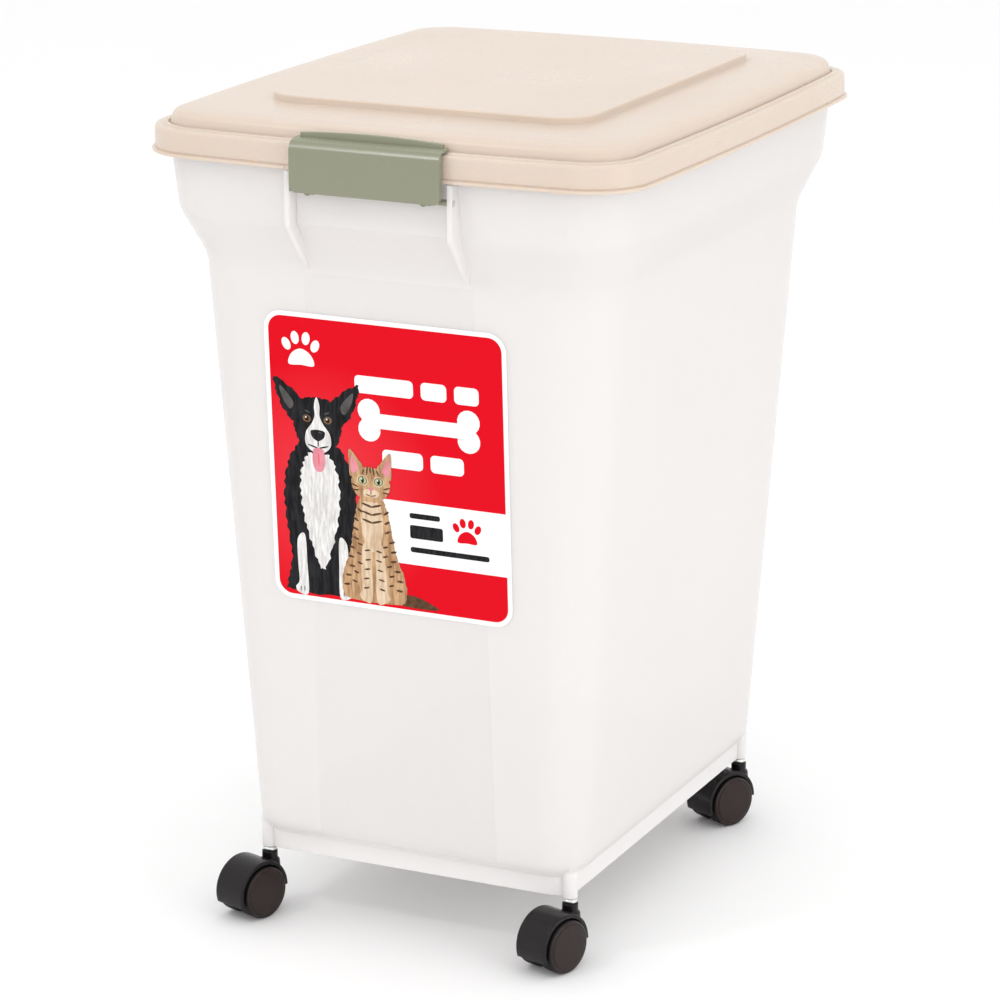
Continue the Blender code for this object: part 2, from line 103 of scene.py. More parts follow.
TUB_INSIDE = (
    (RIM_Z, 181.4, 224.4, 36.6, 4.9, 6.9, 0.0),
    (RIM_Z - 1.0, 180.4, 223.4, 36.3, 4.9, 6.9, 0.0),
    (541.0, 176.5, 219.7, 38.5, 4.0, 6.0, 2.4),
    (536.5, 175.1, 218.3, 39.5, 3.6, 5.4, 2.4),
    (507.5, 161.3, 203.9, 43.5, 0.5, 0.5, 3.4),
    (WALL_TOP_Z, 159.5, 202.0, 43.5, 0.0, 0.0, 3.4),
    (WALL_FOOT_Z, 131.0, 177.5, 27.5, 0.0, 0.0, 3.0),
    (71.0, 128.6, 175.2, 25.0, 0.0, 0.0, 2.0),
    (FLOOR_TOP, 125.5, 172.2, 22.0, 0.0, 0.0, 0.0),
)
BOSS_HALF, BOSS_FRONT, BOSS_PANEL, BOSS_EAR = 64.5, -235.0, -226.0, 4.0
EAR_WIDE = 6.5  # a hinge ear on the back
STEM_X, STEM_Y = 123.5, 164.5
CORNERS = ("front_left", "front_right", "rear_left", "rear_right")
HINGE_PINS = ("hinge_pin_left", "hinge_pin_right")

# --- lid ------------------------------------------------------------------------------------------
LID_HALF_WIDTH, LID_HALF_DEPTH, LID_RADIUS, LID_BULGE = 194.5, 235.6, 39.5, (5.7, 8.0)
PLATE_HALF_WIDTH, PLATE_HALF_DEPTH, PLATE_RADIUS, PLATE_SHIFT = 125.5, 163.8, 27.4, 7.9
LID_FOOT, LEDGE_Z, DOME_Z, LID_TOP, LID_WALL = 580.7, 600.9, 611.5, 617.0, 2.5
HINGE_Y, HINGE_Z, KNUCKLE_R = 237.0, 574.0, 4.0
LATCH_Y, LATCH_Z = -232.0, 567.5


# --- mesh tools -----------------------------------------------------------------------------------
CORNER_STEPS, SIDE_STEPS, FILLET_STEPS, BEVEL_STEPS = 12, 10, 4, 2
SHARP_ANGLE = 32.0  # an edge sharper than this, in degrees, isn't shaded smooth


def outline(half_width, half_depth, radius, bulge_x, bulge_y, shift_y=0.0):
    """Points round a rounded rectangle, counter-clockwise, whose sides bulge out in the middle."""
    flat_x, flat_y = half_width - bulge_x, half_depth - bulge_y
    points = []
    for turn, (side_x, side_y) in enumerate(((1, 1), (-1, 1), (-1, -1), (1, -1))):
        centre = (side_x * (flat_x - radius), side_y * (flat_y - radius))
        for step in range(CORNER_STEPS + 1):
            angle = (turn + step / CORNER_STEPS) * math.pi / 2
            points.append((centre[0] + radius * math.cos(angle), centre[1] + radius * math.sin(angle)))
        along = (flat_x - radius) if turn % 2 == 0 else (flat_y - radius)
        for step in range(1, SIDE_STEPS):
            travel = along * (1 - 2 * step / SIDE_STEPS)
            if turn % 2 == 0:
                points.append((side_y * travel, side_y * flat_y))
            else:
                points.append((side_x * flat_x, -side_x * travel))
    return [
        (x * (1 + bulge_x / flat_x * (1 - (y / flat_y) ** 2)),
         y * (1 + bulge_y / flat_y * (1 - (x / flat_x) ** 2)) + shift_y)
        for x, y in points
    ]


def filleted(rows):
    """Rows of numbers whose last one is a fillet: each bend with a fillet becomes a short curve."""
    smooth = []
    for i, (*row, fillet) in enumerate(rows):
        if not fillet or i in (0, len(rows) - 1):
            smooth.append(row)
            continue
        ends = []
        for other in (rows[i - 1], rows[i + 1]):
            length = math.dist(row[:2], other[:2])
            share = min(fillet / max(length, 1e-6), 0.45)
            ends.append([a + share * (b - a) for a, b in zip(row, other)])
        for step in range(FILLET_STEPS + 1):
            t = step / FILLET_STEPS
            smooth.append([(1 - t) ** 2 * a + 2 * t * (1 - t) * b + t * t * c
                           for a, b, c in zip(ends[0], row, ends[1])])
    return smooth


def shade(mesh):
    mesh.shade_smooth()
    mesh.set_sharp_from_angle(angle=math.radians(SHARP_ANGLE))


def new_object(name, bm):
    """A mesh object from a bmesh in millimetres, shaded smooth apart from its sharp edges."""
    bmesh.ops.recalc_face_normals(bm, faces=bm.faces)
    bmesh.ops.scale(bm, vec=(MM, MM, MM), verts=bm.verts)
    mesh = bpy.data.meshes.new(name)
    bm.to_mesh(mesh)
    bm.free()
    shade(mesh)
    made = bpy.data.objects.new(name, mesh)
    bpy.context.scene.collection.objects.link(made)
    return made


def add_loft(bm, rings, closed=False):
    """Adds a skin through rings of equally many points, capped at both ends or closed on itself."""
    rows = [[bm.verts.new(point) for point in ring] for ring in rings]
    pairs = list(zip(rows, rows[1:]))
    if closed:
        pairs.append((rows[-1], rows[0]))
    else:
        bm.faces.new(rows[0])
        bm.faces.new(rows[-1])
    for low, high in pairs:
        for i in range(len(low)):
            j = (i + 1) % len(low)
            bm.faces.new((low[i], low[j], high[j], high[i]))


def loft(name, rings, closed=False):
    bm = bmesh.new()
    add_loft(bm, rings, closed)
    return new_object(name, bm)


def add_turned(bm, profile, steps, matrix=None):
    """Adds a body turned about z from (radius, height) points that start and end on the axis."""
    rows = []
    for radius, height in profile:
        count = steps if radius else 1
        rows.append([
            bm.verts.new((radius * math.cos(2 * math.pi * i / steps),
                          radius * math.sin(2 * math.pi * i / steps), height))
            for i in range(count)
        ])
    for low, high in zip(rows, rows[1:]):
        for i in range(steps):
            j = (i + 1) % steps
            corners = (low[i % len(low)], low[j % len(low)], high[j % len(high)], high[i % len(high)])
            bm.faces.new(list(dict.fromkeys(corners)))
    if matrix is not None:
        bmesh.ops.transform(bm, matrix=matrix, verts=[v for row in rows for v in row])


def turned(name, profile, steps=48):
    bm = bmesh.new()
    add_turned(bm, profile, steps)
    return new_object(name, bm)


def pin_profile(radius, half):
    """A round pin with chamfered ends, for add_turned()."""
    chamfer = 0.3
    slim, short = radius - chamfer, half - chamfer
    return [(0.0, -half), (slim, -half), (radius, -short), (radius, short), (slim, half), (0.0, half)]


def arc(centre, radius, first, last, steps=8):
    """Points on an arc, in degrees."""
    angles = [math.radians(first + (last - first) * i / steps) for i in range(steps + 1)]
    return [(centre[0] + radius * math.cos(a), centre[1] + radius * math.sin(a)) for a in angles]


def add_prism(bm, polygon, axis, start, end):
    """Adds a polygon, given in the two other axes in their x-y-z order, drawn out along one axis."""
    place = {
        "x": lambda p, t: (t, p[0], p[1]),
        "y": lambda p, t: (p[0], t, p[1]),
        "z": lambda p, t: (p[0], p[1], t),
    }[axis]
    add_loft(bm, [[place(point, t) for point in polygon] for t in (start, end)])


def prism(name, polygon, axis, start, end):
    bm = bmesh.new()
    add_prism(bm, polygon, axis, start, end)
    return new_object(name, bm)


def bevel(obj, width, angle=35.0):
    """Rounds the object's sharp edges, width in millimetres."""
    modifier = obj.modifiers.new("bevel", "BEVEL")
    modifier.width, modifier.segments = width * MM, BEVEL_STEPS
    modifier.limit_method, modifier.angle_limit = "ANGLE", math.radians(angle)
    modifier.use_clamp_overlap = True
    apply_modifiers(obj)
    return obj


def apply_modifiers(obj):
    bpy.context.view_layer.update()
    graph = bpy.context.evaluated_depsgraph_get()
    mesh = bpy.data.meshes.new_from_object(obj.evaluated_get(graph))
    obj.modifiers.clear()
    obj.data = mesh
    shade(mesh)


def combine(target, tools, operation):
    """Applies a Boolean with each tool in turn and removes the tools."""
    for tool in tools:
        modifier = target.modifiers.new("combine", "BOOLEAN")
        modifier.operation, modifier.solver, modifier.object = operation, "EXACT", tool
        apply_modifiers(target)
        bpy.data.objects.remove(tool)
    return target


# --- materials ------------------------------------------------------------------------------------
class Look:
    """A material whose nodes are added and joined by short calls."""

    def __init__(self, name):
        self.material = bpy.data.materials.new(name)
        self.material.use_nodes = True
        self.tree = self.material.node_tree
        self.tree.nodes.clear()
        self.output = self.tree.nodes.new("ShaderNodeOutputMaterial")
        self.place = self.add("ShaderNodeTexCoord").outputs["Object"]

    def add(self, kind, inputs=(), **settings):
        """A node with its settings, and its inputs by name or number: a socket to join or a value."""
        node = self.tree.nodes.new(kind)
        for key, value in settings.items():
            setattr(node, key, value)
        for key, value in dict(inputs).items():
            if isinstance(value, bpy.types.NodeSocket):
                self.tree.links.new(value, node.inputs[key])
            else:
                node.inputs[key].default_value = value
        return node

    def noise(self, scale, detail=2.0, roughness=0.5, stretch=None):
        """Noise from 0 to 1, with scale in features per metre."""
        place = self.place
        if stretch:
            scaled = self.add("ShaderNodeVectorMath", {0: place, 1: stretch}, operation="MULTIPLY")
            place = scaled.outputs[0]
        return self.add("ShaderNodeTexNoise", {"Vector": place, "Scale": scale, "Detail": detail,
                                               "Roughness": roughness}).outputs["Fac"]

    def maths(self, operation, *values):
        return self.add("ShaderNodeMath", dict(enumerate(values)), operation=operation).outputs[0]

    def spread(self, value, low, high, from_low=0.0, from_high=1.0):
        """The value, mapped from one range to another and held inside it."""
        inputs = {0: value, 1: from_low, 2: from_high, 3: low, 4: high}
        return self.add("ShaderNodeMapRange", inputs).outputs[0]

    def blend(self, share, first, second):
        """A colour between two others."""
        node = self.add("ShaderNodeMix", {0: share}, data_type="RGBA")
        for slot, colour in ((6, first), (7, second)):
            if isinstance(colour, bpy.types.NodeSocket):
                self.tree.links.new(colour, node.inputs[slot])
            else:
                node.inputs[slot].default_value = (*colour, 1.0)
        return node.outputs[2]

    def bump(self, height, distance, strength=1.0, under=None):
        """A normal from a height from 0 to 1. distance is in millimetres."""
        inputs = {"Height": height, "Distance": distance * MM, "Strength": strength}
        if under is not None:
            inputs["Normal"] = under
        return self.add("ShaderNodeBump", inputs).outputs["Normal"]

    def plastic(self, colour, roughness, normal=None, **more):
        """A Principled shader. more holds inputs by name, with _ for a space."""
        inputs = {"Base Color": colour if isinstance(colour, bpy.types.NodeSocket) else (*colour, 1.0),
                  "Roughness": roughness, **{key.replace("_", " "): value for key, value in more.items()}}
        if normal is not None:
            inputs["Normal"] = normal
        return self.add("ShaderNodeBsdfPrincipled", inputs).outputs[0]

    def finish(self, shader):
        self.tree.links.new(shader, self.output.inputs["Surface"])
        return self.material


def moulded(name, colour, deeper, roughness, grain, **more):
    """Moulded plastic: a fine eggshell grain, faint flow marks and a slightly uneven colour."""
    look = Look(name)
    cloud = look.spread(look.noise(9.0, 3.0), 0.0, 1.0, 0.35, 0.65)
    fine = look.noise(1400.0, 2.0, 0.6)
    flow = look.noise(14.0, 2.0, 0.5, stretch=(1.0, 1.0, 4.0))
    shade = look.blend(cloud, colour, deeper)
    rough = look.maths("ADD", look.spread(fine, -0.05, 0.05, 0.3, 0.7),
                       look.spread(cloud, roughness - 0.03, roughness + 0.04))
    normal = look.bump(flow, 0.25, 0.25, under=look.bump(fine, grain, 1.0))
    return look.finish(look.plastic(shade, rough, normal, **more))


def clear_band(look, x, y, z):
    """1 inside the polished band down the front wall and 0 outside it, from a place in metres."""
    foot, top = 0.073, 0.502  # the band's sides close in a little between these heights
    side = look.spread(z, 0.072, 0.066, foot, top)
    reach = look.maths("SUBTRACT", side, look.maths("ABSOLUTE", x))
    inside = look.spread(reach, 0.0, 1.0, -0.0006, 0.0006)
    tall = look.maths("MULTIPLY", look.spread(z, 0.0, 1.0, foot - 0.001, foot + 0.0015),
                      look.spread(z, 1.0, 0.0, top - 0.001, top + 0.001))
    front = look.spread(y, 1.0, 0.0, -0.17, -0.168)
    return look.maths("MULTIPLY", look.maths("MULTIPLY", inside, tall), front)


def frosted_tub():
    """Natural polypropylene: milky and see-through, with a polished clear band down the front wall."""
    look = Look("natural_polypropylene")
    x, y, z = look.add("ShaderNodeSeparateXYZ", {0: look.place}).outputs
    band = clear_band(look, x, y, z)
    fine = look.noise(1100.0, 2.0, 0.6)
    flow = look.noise(7.0, 3.0, 0.55, stretch=(1.0, 1.0, 0.5))
    frost = look.maths("MULTIPLY", fine, look.maths("SUBTRACT", 1.0, band))
    normal = look.bump(flow, 0.6, 0.3, under=look.bump(frost, 0.03, 1.0))
    tone = look.spread(flow, 0.0, 1.0, 0.3, 0.7)
    colour = look.blend(tone, (0.955, 0.935, 0.925), (0.93, 0.912, 0.905))
    roughness = look.spread(band, 0.42, 0.12)
    front = look.plastic(colour, roughness, normal, IOR=1.49)
    through = look.add("ShaderNodeBsdfTranslucent", {"Color": colour, "Normal": normal}).outputs[0]
    milk = look.add("ShaderNodeMixShader", {0: 0.25, 1: front, 2: through}).outputs[0]
    clear = look.add("ShaderNodeBsdfTransparent").outputs[0]
    cloud = look.spread(flow, -0.02, 0.02, 0.3, 0.7)
    # The floor and the foot are thicker.
    floor = look.spread(z, 0.25, 0.0, (FLOOR_TOP - 0.5) * MM, (FLOOR_TOP + 2.0) * MM)
    thick = look.maths("ADD", look.maths("ADD", look.spread(band, 0.72, 0.66), cloud), floor)
    return look.finish(look.add("ShaderNodeMixShader", {0: thick, 1: clear, 2: milk}).outputs[0])


def zinc_plate():
    """Bright zinc: fine turned lines and a faint blue to straw passivation."""
    look = Look("zinc_plate")
    tint = look.noise(160.0, 2.0)
    lines = look.noise(120.0, 3.0, 0.6, stretch=(1.0, 1.0, 30.0))
    colour = look.blend(look.spread(tint, 0.0, 1.0, 0.4, 0.6), (0.72, 0.76, 0.79), (0.80, 0.79, 0.72))
    normal = look.bump(lines, 0.02, 0.7)
    return look.finish(look.plastic(colour, look.spread(lines, 0.18, 0.32), normal, Metallic=1.0))


INK_ROUGH, INK_SHINE = 0.33, 0.09  # a matt film, with little of a gloss film's reflection


def filmed(look, colour):
    """The finished material of a colour printed under a matt, faintly uneven film."""
    film = look.noise(25.0, 2.0)
    rough = look.spread(film, INK_ROUGH - 0.04, INK_ROUGH + 0.04)
    normal = look.bump(film, 0.05, 0.5)
    return look.finish(look.plastic(colour, rough, normal, Specular_IOR_Level=INK_SHINE))


def ink(name, colour, deeper, scale=60.0, stretch=None):
    """Printed ink, mottled between two colours."""
    look = Look(name)
    mottle = look.spread(look.noise(scale, 4.0, 0.6, stretch), 0.0, 1.0, 0.38, 0.62)
    return filmed(look, look.blend(mottle, colour, deeper))


def red_ink(centre):
    """The label's red field, lighter round a place behind the pets."""
    look = Look("ink_red")
    away = look.add("ShaderNodeVectorMath", {0: look.place, 1: centre}, operation="DISTANCE")
    fade = look.spread(away.outputs["Value"], 0.0, 1.0, 0.015, 0.095)
    return filmed(look, look.blend(fade, (0.76, 0.035, 0.050), (0.70, 0.0, 0.010)))


def paint(obj, *materials):
    for material in materials:
        obj.data.materials.append(material)
    return obj


# --- tub ------------------------------------------------------------------------------------------
def sections(rows):
    """Rings of points from rows of height, outline sizes and fillet."""
    return [[(x, y, row[0]) for x, y in outline(*row[1:])] for row in filleted(rows)]


def boss_and_ears(bm):
    """The latch's boss on the front, two ears with a panel set back between them, and the hinge ears."""
    front = ((-190.0, 579.8), (BOSS_FRONT, 579.8), (BOSS_FRONT, 541.0), (-203.6, 502.0), (-190.0, 502.0))
    panel = ((-190.0, 579.2), (BOSS_PANEL, 579.2), (BOSS_PANEL, 541.6), (-198.0, 502.6), (-190.0, 502.6))
    inner = BOSS_HALF - BOSS_EAR
    for side in (-1, 1):
        add_prism(bm, front, "x", *sorted((side * inner, side * BOSS_HALF)))
    add_prism(bm, panel, "x", 1.0 - inner, inner - 1.0)
    ear = [(214.0, 579.0), *arc((HINGE_Y, HINGE_Z), KNUCKLE_R, 90.0, -40.0, 12),
           (226.0, 551.0), (214.0, 551.0)]
    for pin in HINGE_PINS:
        low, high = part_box(pin)
        for start in (low.x / MM, high.x / MM - EAR_WIDE):
            add_prism(bm, ear, "x", start, start + EAR_WIDE)


def stem_places():
    return [Matrix.Translation((x, y, 0.0)) for x in (-STEM_X, STEM_X) for y in (-STEM_Y, STEM_Y)]


def sockets(bm):
    """A post at each corner of the foot, for the caster's stem."""
    post = [(0.0, 49.0), (5.1, 49.0), (5.5, 49.4), (5.5, 70.0), (4.4, 82.0), (0.0, 83.0)]
    for place in stem_places():
        add_turned(bm, post, 40, place)


def bores(bm):
    """The stems' holes and the latch's."""
    for place in stem_places():
        add_turned(bm, [(0.0, 40.0), (3.9, 40.0), (3.9, 66.5), (0.0, 66.5)], 32, place)
    half = BOSS_HALF + 5.5
    add_turned(bm, [(0.0, -half), (2.5, -half), (2.5, half), (0.0, half)], 32,
               Matrix.Translation((0.0, LATCH_Y, LATCH_Z)) @ ALONG_X)


def made_of(name, *builders):
    bm = bmesh.new()
    for builder in builders:
        builder(bm)
    return new_object(name, bm)


def core():
    """The tub's hollow grown to the middle of the wall, which cuts the fittings off inside it."""
    grow, above = 1.2, 12.0
    shift = {FLOOR_TOP: -grow, RIM_Z: above}
    rows = [(z + shift.get(z, 0.0), x + grow, y + grow, radius + grow, *bulges, 0.0)
            for z, x, y, radius, *bulges, _ in reversed(TUB_INSIDE)]
    return loft("core", sections(rows))


def tub():
    shell = loft("tub_shell", sections(TUB_UNDER + TUB_OUTSIDE + TUB_INSIDE))
    fittings = bevel(made_of("fittings", boss_and_ears), 0.5)
    posts = made_of("posts", sockets)
    combine(fittings, [core()], "DIFFERENCE")
    combine(posts, [core()], "DIFFERENCE")
    combine(shell, [fittings, posts], "UNION")
    combine(shell, [made_of("bores", bores)], "DIFFERENCE")
    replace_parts(shell, "bin_body")
    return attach(paint(shell, frosted_tub()), "bin")


# --- lid ------------------------------------------------------------------------------------------
def lid_row(height, inset, fillet=0.0):
    """A row of the lid this far inside the outer edge of the bead round its foot."""
    return (height, LID_HALF_WIDTH - inset, LID_HALF_DEPTH - inset, max(LID_RADIUS - 0.8 * inset, 12.0),
            *LID_BULGE, 0.0, fillet)


def plate_row(height, inset, fillet=0.0):
    """A row of the raised plate on top of the lid."""
    return (height, PLATE_HALF_WIDTH - inset, PLATE_HALF_DEPTH - inset, PLATE_RADIUS - inset, 0.0, 0.0,
            PLATE_SHIFT, fillet)


def lid_knuckles(bm):
    """The lid's two hinge knuckles, each between its pin's ears."""
    arm = [(230.6, 592.0), (230.6, 582.0), *arc((HINGE_Y, HINGE_Z), KNUCKLE_R, 180.0, 400.0, 20),
           (236.8, 584.0), (236.0, 592.0)]
    for pin in HINGE_PINS:
        low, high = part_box(pin)
        add_prism(bm, arm, "x", low.x / MM + EAR_WIDE + 0.5, high.x / MM - EAR_WIDE - 0.5)


def lid_underside():
    """Rows from the plate's underside out and down to the foot."""
    under = LEDGE_Z - LID_WALL - 0.4
    return (
        plate_row(LID_TOP - LID_WALL, 3.5), plate_row(LID_TOP - LID_WALL, LID_WALL, 0.4),
        plate_row(DOME_Z - LID_WALL, LID_WALL - 0.2, 0.4),
        lid_row(DOME_Z - LID_WALL, 28.0, 1.0), lid_row(608.3, 23.4, 1.0), lid_row(606.2, 20.0, 1.0),
        lid_row(603.0, 18.0, 0.6), lid_row(594.8, 17.4, 0.3), lid_row(594.8, 15.8, 0.3),
        lid_row(under, 15.6, 0.3), lid_row(under, 5.0, 0.4), lid_row(under - 0.8, 4.3, 0.4),
        lid_row(LID_FOOT, 4.1),
    )


def lid_outside():
    """Rows from the foot up: the bead, the rim, the ledge's two steps, the dome and the plate."""
    return (
        lid_row(LID_FOOT, 0.5), lid_row(581.1, 0.0, 0.2), lid_row(582.7, 0.0, 0.4),
        lid_row(583.3, 2.4, 0.2), lid_row(584.3, 1.9, 0.3),
        lid_row(597.2, 2.2, 1.2), lid_row(599.2, 2.9, 0.7),
        lid_row(599.9, 4.2, 0.5), lid_row(599.9, 7.2, 0.15), lid_row(600.8, 7.7, 0.25),
        lid_row(LEDGE_Z, 8.4, 0.2), lid_row(LEDGE_Z, 10.9, 0.2),
        lid_row(599.1, 11.5, 0.15), lid_row(599.2, 12.2, 0.2),
        lid_row(602.8, 12.8, 0.9), lid_row(606.6, 13.9, 1.4), lid_row(609.2, 16.2, 1.2),
        lid_row(610.3, 19.4, 1.0), lid_row(DOME_Z, 28.5, 2.5),
        plate_row(DOME_Z, -0.5), plate_row(DOME_Z + 0.4, 0.0, 0.2), plate_row(616.0, 0.25, 0.4),
        plate_row(616.8, 0.8, 0.3), plate_row(LID_TOP, 1.9, 0.2), plate_row(LID_TOP, 4.0),
    )


def lid(material):
    shell = loft("lid_shell", sections(lid_underside() + lid_outside()))
    past, bead = -242.0, -233.9  # the bead is cut away behind the latch
    gap = prism("bead_gap", ((-BOSS_HALF, past), (BOSS_HALF, past), (BOSS_HALF, bead), (-BOSS_HALF, bead)),
                "z", 579.0, 583.75)
    combine(shell, [gap], "DIFFERENCE")
    combine(shell, [bevel(made_of("knuckles", lid_knuckles), 0.4)], "UNION")
    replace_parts(shell, "lid")
    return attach(paint(shell, material), "lid")


def gasket():
    """Soft ring with two lips, held under the lid's ledge."""
    low, high = RIM_Z + 0.3, LEDGE_Z - LID_WALL - 0.7
    rows = (lid_row(high, 7.0), lid_row(high, 13.4), lid_row(low + 1.0, 13.5, 0.4),
            lid_row(low, 12.6, 0.4), lid_row(low + 0.9, 10.3, 0.6), lid_row(low, 8.0, 0.4),
            lid_row(low + 1.0, 7.0))
    ring = loft("gasket_ring", sections(rows), closed=True)
    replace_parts(ring, "lid_gasket")
    silicone = moulded("silicone", (0.74, 0.72, 0.69), (0.70, 0.68, 0.65), 0.55, 0.01)
    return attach(paint(ring, silicone), "lid")


# --- latch ----------------------------------------------------------------------------------------
LATCH_HALF, LATCH_FRONT_Y, LATCH_FOOT, LATCH_SKIN, LATCH_CORNER = 57.4, -241.0, 566.3, 2.8, 5.0
LIP_HALF, LIP_STEPS = 54.5, 24
ARM_NEAR, ARM_FAR = 42.0, 47.0  # an arm's two sides, out from the middle


def latch_section(x):
    """The latch cut across at x: front panel, a shoulder and the hook over the lid."""
    inner = LATCH_FRONT_Y + LATCH_SKIN
    past = max(abs(x) - (LATCH_HALF - LATCH_CORNER), 0.0)
    foot = LATCH_FOOT + LATCH_CORNER - math.sqrt(max(LATCH_CORNER ** 2 - past ** 2, 0.0))
    rows = ((inner, foot + 0.5, 0.0), (inner + 0.3, foot, 0.2), (LATCH_FRONT_Y + 0.8, foot, 0.6),
            (LATCH_FRONT_Y, foot + 1.0, 0.6),
            (LATCH_FRONT_Y, 597.2, 1.3), (-239.2, 599.9, 0.8), (-237.6, 601.9, 0.9), (-230.0, 603.6, 0.8),
            (-225.0, 603.8, 0.5), (-224.8, 601.3, 0.4), (-236.0, 601.3, 1.0), (inner, 599.2, 0.8),
            (inner, 580.0, 0.0))
    return [(x, y, z) for y, z in filleted(rows)]


def lip_section(x):
    """The thumb lip that stands on the hook, tallest in the middle."""
    top = 606.4 + 2.1 * (1.0 - (x / LIP_HALF) ** 2)
    rows = ((-229.0, 602.4, 0.0), (-228.4, top, 0.6), (-225.6, top, 0.6), (-225.3, 602.4, 0.0))
    return [(x, y, z) for y, z in filleted(rows)]


def latch_skin(bm):
    """The panel with its two rounded lower corners, and the lip."""
    corner = [LATCH_HALF - LATCH_CORNER * (1.0 - math.sin(math.radians(a))) for a in range(0, 91, 10)]
    stations = [-x for x in reversed(corner)] + [0.0] + corner
    add_loft(bm, [latch_section(x) for x in stations])
    add_loft(bm, [lip_section(LIP_HALF * (2 * i / LIP_STEPS - 1)) for i in range(LIP_STEPS + 1)])


def latch_arms(bm):
    """End ribs, knobs, and the arms that turn on trunnions in the boss's ears."""
    inner = LATCH_FRONT_Y + LATCH_SKIN
    rib = [(inner - 0.6, 569.5), (-235.6, 569.5), (-235.6, 600.6), (inner - 0.6, 600.6)]
    arm = [(inner - 1.0, 580.0), (inner - 1.0, 566.0),
           *arc((LATCH_Y, LATCH_Z), 3.4, 230.0, 400.0, 16), (inner + 1.5, 580.0)]
    middle = (ARM_NEAR + ARM_FAR) / 2
    for side in (-1, 1):
        knob = Matrix.Translation((side * middle, -238.0, 567.4)) @ Matrix.Rotation(math.pi / 2, 4, "X")
        add_turned(bm, pin_profile(2.9, 1.0), 32, knob)
        add_prism(bm, rib, "x", *sorted((side * (LATCH_HALF - 0.06), side * (LATCH_HALF - 2.4))))
        add_prism(bm, arm, "x", *sorted((side * ARM_NEAR, side * ARM_FAR)))
        trunnion = Matrix.Translation((side * 53.0, LATCH_Y, LATCH_Z)) @ ALONG_X
        add_turned(bm, pin_profile(2.2, 8.5), 32, trunnion)


def latch(material):
    skin = bevel(made_of("latch_shell", latch_skin), 0.35, angle=50.0)
    arms = bevel(made_of("latch_arms", latch_arms), 0.3)
    for piece in (skin, arms):
        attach(paint(piece, material), "latch")
    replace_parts(skin, "latch")


# --- casters --------------------------------------------------------------------------------------
TRAIL, AXLE_Z, WHEEL_R, WHEEL_IN, WHEEL_OUT = 19.0, 20.0, 20.0, 4.0, 17.4
HOOD_R, HOOD_INSIDE, HOOD_HALF, HOOD_END, HOOD_STEPS, NECK_Z = 24.0, 21.2, 13.8, 199.0, 56, 45.3


def hood(bm):
    """The cover over both wheels, from level behind the axle over to low in front of it."""
    half = HOOD_HALF
    across = filleted((
        (-half, HOOD_INSIDE, 0.0), (-half, HOOD_R - 0.2, 0.8), (-half + 0.9, HOOD_R, 0.8),
        (0.0, HOOD_R + 0.1, 0.0), (half - 0.9, HOOD_R, 0.8), (half, HOOD_R - 0.2, 0.8),
        (half, HOOD_INSIDE, 0.0)))
    rings = []
    for step in range(HOOD_STEPS + 1):
        angle = math.radians(HOOD_END * step / HOOD_STEPS)
        rings.append([(x, -TRAIL + r * math.cos(angle), AXLE_Z + r * math.sin(angle)) for x, r in across])
    add_loft(bm, rings)


def web_and_neck(bm):
    """The wall between the wheels, and the neck that turns on the stem."""
    centre = (-TRAIL, AXLE_Z)
    web = arc(centre, HOOD_R - 1.4, 2.0, HOOD_END - 2.0, 48) + arc(centre, 9.0, 215.0, 350.0, 12)
    add_prism(bm, web, "x", -3.0, 3.0)
    rows = filleted((
        (0.0, 26.0, 0.0), (8.2, 26.0, 0.0), (7.4, 37.6, 0.8), (6.6, 38.6, 0.6), (5.9, 39.4, 0.4),
        (5.9, NECK_Z - 0.5, 0.3), (5.4, NECK_Z, 0.2), (4.2, NECK_Z, 0.2),
        (3.9, NECK_Z - 1.0, 0.0), (0.0, NECK_Z - 1.0, 0.0)))
    add_turned(bm, rows, 48)


def wheel_profile():
    """(radius, distance out) round one wheel: bore, tread, rounded rim and the face's step."""
    return filleted((
        (0.0, WHEEL_OUT - 2.0, 0.0), (2.3, WHEEL_OUT - 2.0, 0.0), (2.3, WHEEL_IN, 0.0),
        (WHEEL_R - 1.2, WHEEL_IN, 0.6), (WHEEL_R, WHEEL_IN + 0.9, 0.5), (WHEEL_R, WHEEL_OUT - 2.2, 1.0),
        (WHEEL_R - 0.9, WHEEL_OUT - 1.0, 0.8), (WHEEL_R - 2.2, WHEEL_OUT - 0.7, 0.4),
        (WHEEL_R - 2.9, WHEEL_OUT - 1.0, 0.25), (WHEEL_R - 3.3, WHEEL_OUT - 0.3, 0.25),
        (WHEEL_R - 4.2, WHEEL_OUT - 0.1, 0.4), (0.0, WHEEL_OUT, 0.0)))


def stem_profile():
    """(radius, height) up the stem: swivel pin, collar, shank and its snap groove."""
    return filleted((
        (0.0, 36.3, 0.0), (3.2, 36.3, 0.0), (3.6, 36.7, 0.2), (3.6, NECK_Z + 0.25, 0.2),
        (4.9, NECK_Z + 0.25, 0.2), (5.5, 46.3, 0.5), (5.5, 47.7, 0.5), (4.7, 48.7, 0.4),
        (3.6, 48.7, 0.0), (3.6, 61.5, 0.2), (3.1, 62.0, 0.2),
        (3.1, 63.0, 0.2), (3.6, 63.5, 0.2), (3.6, 65.0, 0.3), (2.8, 65.8, 0.0), (0.0, 65.8, 0.0)))


def wheel(name, looks):
    """One wheel about z: its face in the first material and the tread round it in the second, a near-black
    painted shade that stands for the shadowed gap between hood and wheel.
    """
    made = paint(turned(name, wheel_profile(), 72), *looks)
    # The faces round the tread take the painted shade.
    painted_shade_from = (WHEEL_R - 0.35) * MM
    for face in made.data.polygons:
        if math.hypot(face.center.x, face.center.y) > painted_shade_from:
            face.material_index = 1
    return made


